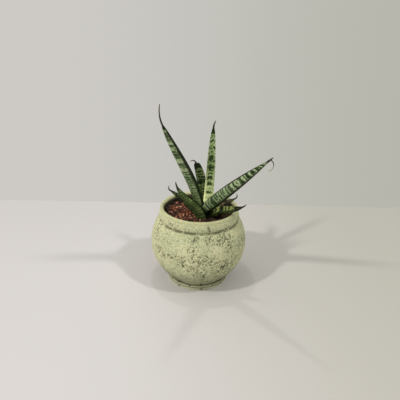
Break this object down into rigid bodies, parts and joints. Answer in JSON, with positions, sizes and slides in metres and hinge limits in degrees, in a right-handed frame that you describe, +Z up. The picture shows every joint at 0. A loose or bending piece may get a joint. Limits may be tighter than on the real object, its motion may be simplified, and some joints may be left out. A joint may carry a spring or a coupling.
{
  "type": "potted sansevieria",
  "caption": "Young sansevieria with a loose fan of stiff, channelled, cross-banded leaves in a squat round rustic pot filled with reddish granular soil; stands on its flat base.",
  "frame": {"origin": "centre of the flat base of the pot, on the axis of the pot", "axes": "+Z up along the axis of the pot, -Y towards the viewer, where the two long leaves lean out, +X to the viewer's right"},
  "size_m": [0.1453, 0.1631, 0.2614],
  "materials": {
    "pot": "matte",
    "soil": "matte",
    "rootstock": "matte",
    "leaf_light": "satin",
    "leaf_dark": "satin"
  },
  "bodies": {
    "root": {"pot": "pot", "soil": "soil", "rootstock": "rootstock", "leaf_upright": "leaf_light", "leaf_tall_left": "leaf_light", "leaf_low_left": "leaf_dark", "leaf_stout_right": "leaf_light", "leaf_back": "leaf_dark", "leaf_low_right": "leaf_light", "leaf_low_left_rear": "leaf_dark", "leaf_low_right_rear": "leaf_dark"}
  },
  "joints": []
}
